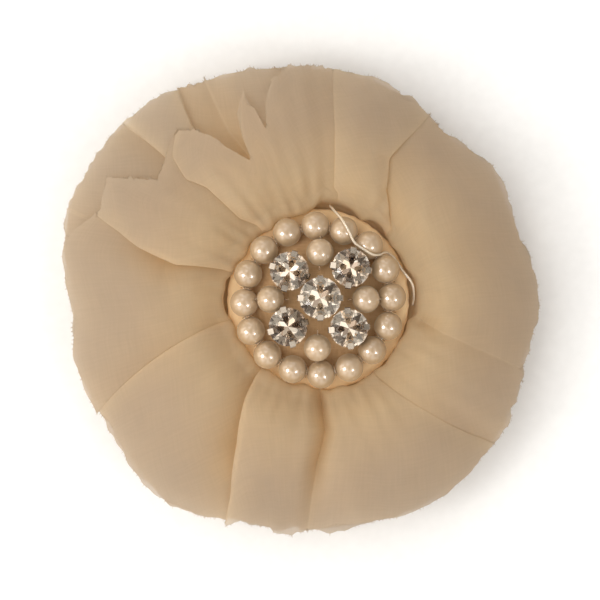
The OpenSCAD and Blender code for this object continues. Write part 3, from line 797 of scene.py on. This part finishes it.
def pearl_material():
    """Pearl lacquer: cream, a little cloudy, under a clear glossy coat."""
    s = Shade("pearl")
    base = s.ramp(s.attribute("tone"), (0.0, linear(169, 142, 111)), (1.0, linear(183, 156, 125)))
    cloud = s.noise(s.coords(), 0.3, 1)
    base = s.mix(s.math("MULTIPLY", cloud, 0.5), base, linear(194, 164, 124))
    rough = s.ramp(s.noise(s.coords(), 0.35, 1), (0.3, 0.38), (0.7, 0.46))
    return s.surface(Base_Color=base, Roughness=rough, Metallic=0.15, Coat_Weight=1.0, Coat_Roughness=0.04,
                     Coat_IOR=1.9, Sheen_Weight=0.4, Sheen_Roughness=0.4, Sheen_Tint=(1.0, 0.86, 0.62, 1))


PEARL = pearl_material()
PEARL_D = 5.9
BORE_R = 0.55
RING_START, RING_STEP = 92.2, 22.5    # degrees: the first outer pearl's direction, and from one to the next


def pearl_mesh():
    """A pearl about z with a softened lip at both ends of its thread hole."""
    r = PEARL_D / 2
    end = math.sqrt(r * r - BORE_R ** 2)
    lip = 0.07
    arc = np.linspace(math.asin((BORE_R + lip) / r), math.pi - math.asin((BORE_R + lip) / r), 30)
    profile = [(r * math.sin(a), -r * math.cos(a)) for a in arc]
    profile += [(BORE_R + 0.015, end - 0.03), (BORE_R, end - 0.12), (BORE_R, 0), (BORE_R, -end + 0.12),
                (BORE_R + 0.015, -end + 0.03)]
    return lathe(profile, np.ones(48), closed=True)


def pearl(node, lay):
    """A pearl in a CAD pearl's place, with its thread hole laid in direction lay, in degrees."""
    verts, faces = pearl_mesh()
    snug = 0.97 if node.startswith("inner") else 1.0    # so that no inner pearl touches a claw or a neighbour
    obj = piece("bead_" + node, turned(verts * snug, lay, lay=True), faces, PEARL, "pearl", node,
                middle=sum(box_mm(node)) / 2)
    mark(obj, "tone", np.full(len(verts), random.uniform(0, 1)))


for i in range(16):
    pearl(f"outer_pearl_{i + 1}", RING_START - i * RING_STEP + 90)
for name, direction in (("top", 88), ("right", 1), ("bottom", 269), ("left", 179)):
    pearl(f"inner_pearl_{name}", direction)


def stone_materials():
    """Cut glass with a mirror foil on its back facets, whose colour holds painted reflections that differ
    from facet to facet.
    """
    s = Shade("rhinestone_glass")
    smear = s.ramp(s.noise(s.coords(), 0.8, 3), (0.35, (1.0, 0.98, 0.95)), (0.7, 1.0))
    glass = s.surface(Base_Color=smear, Transmission_Weight=1.0, Roughness=0.0, IOR=1.4)
    s = Shade("rhinestone_foil")
    # painted reflection: foil colour from dark to bright, set for each facet
    painted_facet_reflection = s.ramp(s.attribute("painted_facet_reflection"), (0.0, (0.4, 0.32, 0.26)), (0.4, (0.95, 0.83, 0.7)),
                   (0.8, (1.0, 0.94, 0.86)))
    return glass, s.surface(Base_Color=painted_facet_reflection, Metallic=1.0, Roughness=0.03)


def stone_mesh(r):
    """Round brilliant with its girdle at z = 0, and which of its faces belong to the foiled back."""
    table_r, mid_r, low_r, girdle = 0.56 * r, 0.8 * r, 0.42 * r, 0.1
    crown_z, culet_z = girdle + 0.34 * r, -girdle - 0.8 * r
    c = math.cos(math.radians(22.5))
    mid_z = crown_z - (mid_r * c - table_r) * (crown_z - girdle) / (r - table_r)
    low_z = culet_z + low_r * c * (-girdle - culet_z) / r

    def ring(radius, count, shift, z):
        a = np.radians(np.arange(count) * 360 / count + shift)
        return np.column_stack([radius * np.cos(a), radius * np.sin(a), np.full(count, z)])

    verts = np.vstack([ring(table_r, 8, 0, crown_z), ring(mid_r, 8, 22.5, mid_z), ring(r, 16, 0, girdle),
                       ring(r, 16, 0, -girdle), ring(low_r, 8, 22.5, low_z), [[0, 0, culet_z]]])
    mid, upper, lower, low, culet = 8, 16, 32, 48, 56
    faces = [tuple(range(8))]
    for i in range(8):
        faces += [(i, mid + i, (i + 1) % 8), (i, mid + (i + 7) % 8, upper + 2 * i, mid + i),
                  (mid + i, upper + 2 * i, upper + 2 * i + 1),
                  (mid + i, upper + 2 * i + 1, upper + (2 * i + 2) % 16)]
    faces += [(upper + j, lower + j, lower + (j + 1) % 16, upper + (j + 1) % 16) for j in range(16)]
    back = len(faces)
    for i in range(8):
        faces += [(low + i, lower + 2 * i + 1, lower + 2 * i),
                  (low + i, lower + (2 * i + 2) % 16, lower + 2 * i + 1),
                  (culet, low + i, lower + 2 * i, low + (i + 7) % 8)]
    return verts, faces, back


GLASS, FOIL = stone_materials()
STONES = {"middle": (4.4, 0), "upper_left": (4.05, -16), "upper_right": (4.05, -8), "lower_left": (4.05, 15),
          "lower_right": (4.05, 5)}
for name, (radius, turn) in STONES.items():
    low, high = box_mm(name + "_stone")
    verts, faces, back = stone_mesh(radius)
    middle = [(low[0] + high[0]) / 2, (low[1] + high[1]) / 2, high[2] - verts[:, 2].max()]
    obj = piece(name + "_rhinestone", turned(verts, turn), faces, GLASS, "rhinestone", name + "_stone",
                middle, smooth=False)
    obj.data.materials.append(FOIL)
    for i, face in enumerate(obj.data.polygons):
        face.material_index = int(i >= back)
    # painted reflection: each back facet's foil is painted its own brightness, from dark to bright, standing
    # in for the dark and bright surroundings that slightly turned facets would reflect
    mark(obj, "painted_facet_reflection", [random.choice([0.0, 0.4, 0.7, 1.0, 1.0]) for _ in faces], "FACE")


def metal(name, colour, dark, rough, streak=(1, 1, 1), grain=0.05):
    """Plated metal with fine streaks, a little dulled in patches."""
    s = Shade(name)
    streaks = s.noise(s.coords(streak), 2.0, 4)
    patches = s.noise(s.coords(), 0.22, 4)
    spread = s.math("ADD", s.math("MULTIPLY", streaks, 0.5), s.math("MULTIPLY", patches, 0.5))
    return s.surface(Metallic=1.0, Base_Color=s.ramp(patches, (0.3, dark), (0.62, colour)),
                     Roughness=s.ramp(spread, (0.3, rough * 0.7), (0.7, rough * 1.5)),
                     Normal=s.bump(streaks, grain, 0.00002))


SILVER = metal("silver_plate", (0.52, 0.46, 0.39), (0.36, 0.31, 0.26), 0.25)
for name in STONES:
    dress(name + "_setting", SILVER, "setting_metal", bevel=0.12)


# ---------------- pad, threads, glue, felt

def pad_material(colour, fold, scale, edge):
    """Plain woven cloth with threads of different weight, with painted shade in a darker tone over the
    middle, between the pearls, and painted light in a paler tone at the pad's edge, against the shade that
    the pearls and the petals' overhang cast there.
    """
    s = Shade("pad_cloth")
    warp = s.noise(s.coords((0.3, scale, scale)), 1.0, 2)
    weft = s.noise(s.coords((scale, 0.3, scale)), 1.0, 2)
    cross = s.math("MAXIMUM", warp, weft)
    patches = s.noise(s.coords(), 0.15, 4)
    # painted light and shade: paler at the edge against the shade of the pearls and the overhanging petals,
    # darker over the middle between the pearls
    tint = s.mix(s.attribute("edge"), s.ramp(cross, (0.4, fold), (0.62, colour)), edge)
    tint = s.times(tint, s.ramp(patches, (0.3, 0.93), (0.7, 1.05)))
    return s.surface(Base_Color=tint, Normal=s.bump(cross, 0.5, 0.0001), Roughness=0.9, Sheen_Weight=0.3,
                     Sheen_Roughness=0.5, Specular_IOR_Level=0.2)


# the pad's middle tone holds painted shade, its paler edge tone painted light
PAD_CLOTH = pad_material(linear(210, 170, 124), linear(200, 158, 112), 2.4, linear(248, 217, 170))


def pad():
    """The domed pad: its cloth cover is drawn over the edge in small puckers."""
    edge = pad_top(PAD_R)
    profile = [(0.0, PAD_TOP)] + [(r, pad_top(r)) for r in np.linspace(0.4, PAD_R - 0.5, 60)]
    profile += [(PAD_R - 0.25, edge - 0.02), (PAD_R - 0.07, edge - 0.16), (PAD_R, edge - 0.4),
                (PAD_R, PAD_Z + 0.35), (PAD_R - 0.12, PAD_Z + 0.1), (PAD_R - 0.4, PAD_Z), (10.0, PAD_Z),
                (0.0, PAD_Z)]
    verts, faces = lathe(profile, np.ones(240))
    r = np.hypot(verts[:, 0], verts[:, 1])
    a = np.arctan2(verts[:, 1], verts[:, 0])
    near = np.clip((r - 16.5) / 2.7, 0, 1) ** 2
    pucker = near * (0.5 + 0.3 * np.sin(41 * a + 1) + 0.2 * np.sin(67 * a + 2))
    top = verts[:, 2] > PAD_Z + 0.5
    verts[:, :2] *= 1 - 0.010 * pucker[:, None]
    weave = 0.015 * (1 + np.sin(1.9 * verts[:, 0]) * np.sin(2.3 * verts[:, 1]))
    verts[:, 2] -= np.where(top, 0.10 * pucker + weave, 0)
    obj = piece("domed_pad", verts, faces, PAD_CLOTH, "pad_cloth", "centre_pad")
    # how near the edge, for the pad's painted light
    mark(obj, "edge", np.clip((r - 15) / 3, 0, 1))


pad()


def nylon_material(name, thin, thick, clear):
    """Milky clear nylon."""
    s = Shade(name)
    milk = s.noise(s.coords(), 0.9, 2)
    return s.surface(Base_Color=s.ramp(milk, (0.3, thin), (0.7, thick)), Transmission_Weight=clear,
                     Roughness=s.ramp(milk, (0.3, 0.1), (0.7, 0.26)), IOR=1.53, Coat_Weight=0.5)


NYLON = nylon_material("nylon", linear(214, 184, 146), linear(228, 202, 166), 0.7)
LOOSE_NYLON = nylon_material("loose_nylon", linear(246, 228, 200), linear(252, 240, 220), 0.4)
dress("ring_thread", NYLON, "nylon")
dress("spoke_threads", NYLON, "nylon")

# the loop's route from the gathered centre, z from the table
LOOP = [
    (2.4, 19.9, 18.9), (2.5, 19.8, 20.2), (2.8, 19.4, 21.5), (3.2, 18.9, 22.8),
    (3.7, 18.3, 24.1), (4.3, 17.6, 25.4), (4.9, 16.8, 26.4), (5.5, 15.8, 27.0), (6.1, 14.8, 27.1),
    (6.6, 13.8, 27.0), (7.1, 12.7, 26.6), (7.7, 11.8, 26.5), (8.6, 11.1, 26.6), (9.7, 10.4, 26.8),
    (10.7, 9.8, 26.8), (11.6, 9.4, 26.4), (12.4, 9.4, 25.6), (13.0, 9.5, 24.9),
    (13.6, 9.8, 24.0), (14.3, 9.9, 23.1), (15.0, 9.6, 22.2), (15.8, 9.0, 21.5), (16.5, 8.1, 21.2),
    (17.2, 7.0, 21.2), (18.0, 5.8, 21.4), (19.0, 4.6, 21.6), (19.8, 3.1, 21.6), (20.1, 1.6, 21.0),
    (20.1, 0.1, 20.0), (19.9, -1.0, 18.9),
]
verts, faces = tube(smooth_path(LOOP, 5), 0.27, 12)
piece("nylon_loop", verts, faces, LOOSE_NYLON, "nylon", "loose_thread")


def couching():
    """A small nylon stitch over the string between each two outer pearls, down into the pad."""
    ring_z = box_mm("ring_thread")[0][2] + 0.15
    parts = []
    for i in range(16):
        a = math.radians(RING_START - (i + 0.5) * RING_STEP)
        rho = (1.0 if i == 2 else 1.25) + 0.08 * math.sin(5 * i)    # stitch 2 passes under the loose loop
        arch = [(rho, -2.2)] + [(rho * math.cos(t), rho * math.sin(t)) for t in np.linspace(0, math.pi, 11)]
        arch += [(-rho, -2.2)]
        path = [((15.1 + u) * math.cos(a), (15.1 + u) * math.sin(a), ring_z + v) for u, v in arch]
        parts.append(tube(path, 0.09, 8))
    piece("couching_stitches", *join(parts), NYLON, "nylon")


couching()


def glue_material():
    """Set hot glue: yellowish, half clear and a little lumpy."""
    s = Shade("hot_glue")
    milk = s.ramp(s.noise(s.coords(), 0.35, 4), (0.3, (0.8, 0.7, 0.52)), (0.7, (0.9, 0.84, 0.7)))
    lumps = s.bump(s.noise(s.coords(), 0.9, 2), 0.4, 0.00015)
    return s.surface(Base_Color=milk, Normal=lumps, Roughness=0.35, Transmission_Weight=0.35, IOR=1.48)


def glue_slab(name, node, half_x, half_y, power, wander, material):
    """A squeezed layer of glue with a wandering, rounded edge."""
    low, high = box_mm(node)
    middle, thick = (low + high) / 2 * (1, 1, 0), high[2] - low[2]
    a = np.linspace(0, 2 * math.pi, 160, endpoint=False)
    rim = ((np.abs(np.cos(a)) / half_x) ** power + (np.abs(np.sin(a)) / half_y) ** power) ** (-1 / power)
    rim = rim + wander * (np.sin(5 * a + 1) + 0.7 * np.sin(11 * a + 2) + 0.5 * np.sin(23 * a)) / 2
    side = [(0.0, 0.0), (0.6, 0.0), (0.95, 0.0), (0.99, 0.14), (1.0, 0.5), (0.99, 0.86), (0.95, 1.0),
            (0.6, 1.0), (0.0, 1.0)]
    verts, faces = lathe([(share, low[2] + up * thick) for share, up in side], rim)
    piece(name, verts, faces, material, "hot_glue", node, middle)


GLUE = glue_material()
glue_slab("clip_glue_bead", "clip_glue", 17.4, 4.9, 4.0, 0.45, GLUE)
glue_slab("centre_glue_bead", "centre_glue", 15.0, 15.0, 2.0, 0.6, GLUE)


def felt_material():
    """Pressed fibres that lie both ways."""
    s = Shade("felt")
    fibres = s.noise(s.coords((1.0, 0.35, 1.0)), 1.6, 6, 0.7)
    across = s.noise(s.coords((0.35, 1.0, 1.0)), 1.6, 6, 0.7)
    mat = s.math("ADD", s.math("MULTIPLY", fibres, 0.5), s.math("MULTIPLY", across, 0.5))
    colour = s.ramp(mat, (0.35, linear(196, 170, 134)), (0.65, linear(220, 198, 164)))
    return s.surface(Base_Color=colour, Normal=s.bump(mat, 0.7, 0.0002), Roughness=0.95, Sheen_Weight=0.5,
                     Sheen_Roughness=0.6, Specular_IOR_Level=0.1)


GLUED_MM = 11.2    # width of the felt's band that the clip covers


def felt():
    """Pressed felt disc, cut by hand, with loose fibres round its edge and over its back."""
    material = felt_material()
    low, high = box_mm("felt_backing")
    radius, z0, z1 = (high[0] - low[0]) / 2, low[2], high[2]
    a = np.linspace(0, 2 * math.pi, 240, endpoint=False)
    rim = radius - 0.25 + 0.14 * np.sin(3 * a + 1) + 0.06 * np.sin(17 * a) + 0.04 * np.sin(43 * a)
    profile = [(0, z0)] + [(r, z0) for r in (0.3, 0.6, 0.9, 0.985)] + [(1.0, z0 + 0.15), (1.002, z0 + 0.6),
               (1.0, z1 - 0.15), (0.985, z1), (0.9, z1), (0.5, z1), (0, z1)]
    verts, faces = lathe(profile, rim)
    lump = 0.03 * np.sin(0.9 * verts[:, 0] + 1) * np.sin(1.1 * verts[:, 1])
    verts[:, 2] += np.where(verts[:, 2] < (z0 + z1) / 2, np.maximum(lump, 0), np.minimum(lump, 0))
    obj = piece("felt_disc", verts, faces, material, "felt", "felt_backing")
    parts = []
    for i in range(900):
        t = random.uniform(0, 2 * math.pi)
        if i % 3:
            reach = radius - 0.4
            start = np.array([reach * math.cos(t), reach * math.sin(t), random.uniform(z0, z1 - 0.3)])
            way = np.array([math.cos(t + random.normal(0, 0.8)), math.sin(t + random.normal(0, 0.8)),
                            random.normal(0, 0.3)])
            length = random.uniform(0.5, 1.1)
        else:
            reach = random.uniform(0.4, 0.98) * radius
            start = np.array([reach * math.cos(t), reach * math.sin(t), z0])
            if abs(start[1]) < GLUED_MM / 2:    # the glue and the clip cover the middle
                continue
            way = np.array([random.normal(0, 1), random.normal(0, 1), -0.25])
            length = random.uniform(0.4, 1.0)
        way /= np.linalg.norm(way)
        bend = random.normal(0, 0.12, 3)
        path = [start, start + way * length * 0.5 + bend, start + way * length]
        parts.append(tube(path, [0.03, 0.025, 0.012], 3))
    fuzz = piece("felt_fuzz", *join(parts), material, "felt")


felt()


def thread_material():
    """Twisted sewing thread."""
    s = Shade("sewing_thread")
    twist = s.noise(s.coords((3, 3, 0.6)), 1.2, 3)
    colour = s.ramp(twist, (0.35, linear(200, 180, 150)), (0.65, linear(232, 216, 188)))
    return s.surface(Base_Color=colour, Normal=s.bump(twist, 0.6, 0.0001), Roughness=0.75,
                     Sheen_Weight=0.4)


def stitches():
    """The thread that gathers the circles: wound up through their middles and knotted."""
    low, high = box_mm("gather_thread")
    z0, z1 = low[2] + 0.25, high[2] - 0.25
    path = []
    turns = 12
    for t in np.linspace(0, 1, turns * 16 + 1):
        a = 2 * math.pi * turns * t
        r = 1.25 + 0.3 * math.sin(7.3 * a / 6)
        path.append((r * math.cos(a), r * math.sin(a), z0 + (z1 - z0) * t))
    parts = [tube(path, 0.22, 7)]
    for i in range(9):
        a = i * 2.4
        knot = [(r * math.cos(a + turn), r * math.sin(a + turn), z)
                for r, turn, z in ((0.9, 0, z0), (0.5, 0.5, 14.9), (0.9, 1, z1))]
        parts.append(tube(smooth_path(knot, 6), 0.2, 6))
    piece("gather_stitches", *join(parts), thread_material(), "sewing_thread", "gather_thread")


stitches()


# ---------------- clip

NICKEL = metal("nickel", (0.74, 0.72, 0.69), (0.58, 0.56, 0.53), 0.26, streak=(0.06, 1.6, 1.6), grain=0.12)
PIN_STEEL = metal("pin_nickel", (0.66, 0.65, 0.63), (0.5, 0.49, 0.47), 0.2)
WIRE = metal("spring_wire", (0.6, 0.59, 0.57), (0.42, 0.41, 0.4), 0.22, streak=(1.2, 0.4, 1.2))
dress("clip_plate", NICKEL, "clip_steel", bevel=0.06)
dress("clip_jaw", NICKEL, "clip_steel", bevel=0.05)
dress("hinge_pin", PIN_STEEL, "pin_steel", bevel=0.06)


def spring():
    """The torsion spring: its coil turns about the hinge, one leg on the plate and one on the jaw's tail."""
    hinge = np.array([CENTRE[0] - 6.0, 0, 7.4])
    coil_r, half_w, leg = 1.75, 1.5, 11.0
    first, last = 179.6, 195.3
    turn = np.linspace(first - 90, last + 90 - 1800, 26 * 9 + 1)
    side = np.linspace(half_w, -half_w, len(turn))

    def way(degrees):
        return np.array([math.cos(math.radians(degrees)), 0, math.sin(math.radians(degrees))])

    coil = [hinge + coil_r * way(a) + (0, y, 0) for a, y in zip(turn, side)]
    path = [coil[0] + way(first) * d for d in np.linspace(leg, 0.3, 14)] + coil
    path += [coil[-1] + way(last) * d for d in np.linspace(0.3, leg, 14)]
    radii = np.full(len(path), 0.32)
    radii[0] = radii[-1] = 0.27
    verts, faces = tube(path, radii, 14)
    obj = new_object("spring_coil", verts, faces, material=WIRE)
    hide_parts("torsion_spring")
    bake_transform(obj)


spring()


# ---------------- floor, light, camera

def area_light(name, direction, distance, size, power):
    """A round soft light that faces the flower, distance metres away from it."""
    data = bpy.data.lights.new(name, "AREA")
    data.shape = "DISK"
    data.size = size
    data.energy = power
    data.color = LAMP_WHITE
    light = bpy.data.objects.new(name, data)
    bpy.context.scene.collection.objects.link(light)
    light.location = Vector(direction).normalized() * distance
    light.rotation_mode = "QUATERNION"
    light.rotation_quaternion = Vector(direction).to_track_quat("Z", "Y")
    light.visible_transmission = False
    return light


FLOOR_MM = 1500
LAMP_WHITE = (1.0, 0.98, 0.95)


def floor():
    """Plain pale paper, just under the flower."""
    s = Shade("floor_paper")
    tone = s.ramp(s.noise(s.coords(), 0.4, 4), (0.3, (0.9, 0.9, 0.895)), (0.7, (0.93, 0.93, 0.925)))
    paper = s.surface(Base_Color=tone, Roughness=0.9)
    corners = [(x * FLOOR_MM, y * FLOOR_MM, -0.1) for x, y in ((-1, -1), (1, -1), (1, 1), (-1, 1))]
    new_object("floor", corners, [(0, 1, 2, 3)], smooth=False, material=paper)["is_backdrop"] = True


floor()
KEY, SECOND = (-0.64, -0.19, 0.75), (0.475, -0.36, 0.80)
for name, way, size, power in (("key", KEY, 0.3, 1.3), ("second", SECOND, 0.25, 0.8),
                               ("overhead", (-0.3, 0.05, 1.0), 0.5, 1.6)):
    area_light(name, way, 0.95, size, power).visible_glossy = False
# two softboxes that only show as highlights
for name, way, size, power in (("key_box", KEY, 0.36, 3.6), ("second_box", SECOND, 0.26, 1.8)):
    area_light(name, way, 0.9, size, power).visible_diffuse = False


def dome():
    """Even soft light from all round, a little stronger from the left and dim straight overhead."""
    s = Shade("studio", world=True)
    way = s.node("ShaderNodeTexCoord").outputs["Generated"]
    axes = s.node("ShaderNodeSeparateXYZ")
    s.link(way, axes.inputs[0])
    x, y, z = axes.outputs
    side = s.math("ADD", 1.0, s.math("MULTIPLY", x, -0.55))
    above = s.ramp(z, (0.75, 1.0), (0.85, 1.2), (0.93, 1.2), (0.985, 0.35))
    panels = s.ramp(s.noise(way, 2.6, 0), (0.45, 0.55), (0.55, 1.45))
    light = s.times(above, panels)
    low_warm = s.ramp(z, (0.0, (1.0, 0.84, 0.62)), (0.45, (1.0, 0.985, 0.96)))
    light = s.times(light, low_warm)
    back = s.node("ShaderNodeBackground")
    s.link(light, back.inputs["Color"])
    s.link(side, back.inputs["Strength"])
    bpy.context.scene.world = s.finish(back.outputs[0])


dome()

FRAME_MM = 127.5           # what the picture's side covers at the height of the petals
PETAL_Z = 12.0
DISTANCE_MM = 700.0        # from the petals to the camera
camera_data = bpy.data.cameras.new("camera")
camera_data.lens = camera_data.sensor_width * DISTANCE_MM / FRAME_MM
camera_data.clip_start = 0.01
camera = bpy.data.objects.new("camera", camera_data)
bpy.context.scene.collection.objects.link(camera)
camera.location = Vector((0, 0, PETAL_Z + DISTANCE_MM)) * MM
bpy.context.scene.camera = camera
bpy.context.scene.view_settings.view_transform = "Standard"

low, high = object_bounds()
